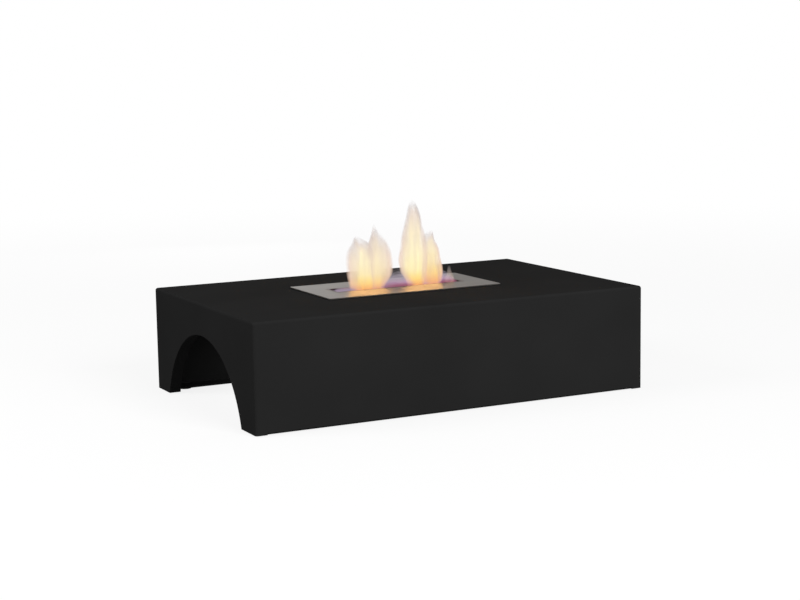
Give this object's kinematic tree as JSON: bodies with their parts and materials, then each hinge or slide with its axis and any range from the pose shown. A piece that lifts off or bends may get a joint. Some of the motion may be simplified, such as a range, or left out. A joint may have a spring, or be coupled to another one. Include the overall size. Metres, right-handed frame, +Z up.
{
  "type": "bioethanol fireplace",
  "caption": "Low black steel bioethanol fireplace with an arch through each end and a drop-in stainless slot burner with a sliding regulator, shown lit.",
  "frame": {"origin": "on the floor under the middle of the body", "axes": "+X along the length to the right end, +Y to the back, +Z up; the front wall faces -Y"},
  "size_m": [0.8, 0.5, 0.3672],
  "materials": {
    "black_powder_coat": "satin",
    "brushed_stainless": "brushed",
    "plain_stainless": "satin",
    "zinc_plated_steel": "satin",
    "black_rubber": "matte",
    "ceramic_fibre": "matte",
    "graphite_gasket": "matte",
    "flame": "translucent"
  },
  "bodies": {
    "housing": {"back_panel": "black_powder_coat", "burner_well": "black_powder_coat", "foot_pad_back_left": "black_rubber", "foot_pad_back_right": "black_rubber", "foot_pad_front_left": "black_rubber", "foot_pad_front_right": "black_rubber", "front_panel": "black_powder_coat", "left_arch_return": "black_powder_coat", "left_end_panel": "black_powder_coat", "right_arch_return": "black_powder_coat", "right_end_panel": "black_powder_coat", "top_panel": "black_powder_coat", "top_rib_left": "black_powder_coat", "top_rib_right": "black_powder_coat", "well_nuts": "zinc_plated_steel", "well_studs": "zinc_plated_steel"},
    "burner": {"burner_casing": "plain_stainless", "burner_plate": "brushed_stainless", "flame_left_inner": "flame", "flame_left_outer": "flame", "flame_right_short": "flame", "flame_right_tall": "flame", "flame_right_tiny": "flame", "fuel_chamber_left": "plain_stainless", "fuel_chamber_right": "plain_stainless", "rim_gasket": "graphite_gasket", "runner_left": "brushed_stainless", "runner_right": "brushed_stainless", "wick_cover_left": "brushed_stainless", "wick_cover_right": "brushed_stainless", "wick_pad_left": "ceramic_fibre", "wick_pad_right": "ceramic_fibre"},
    "regulator": {"regulator_shutter": "brushed_stainless", "regulator_tab": "brushed_stainless"}
  },
  "joints": [
    {"name": "burner_lift", "type": "slide", "parent": "housing", "child": "burner", "axis": [0, 0, 1], "range_m": [0, 0.12]},
    {"name": "regulator_slide", "type": "slide", "parent": "burner", "child": "regulator", "axis": [0, -1, 0], "range_m": [0, 0.0395], "deforming": ["flame_left_inner", "flame_left_outer", "flame_right_short", "flame_right_tall", "flame_right_tiny"]}
  ]
}
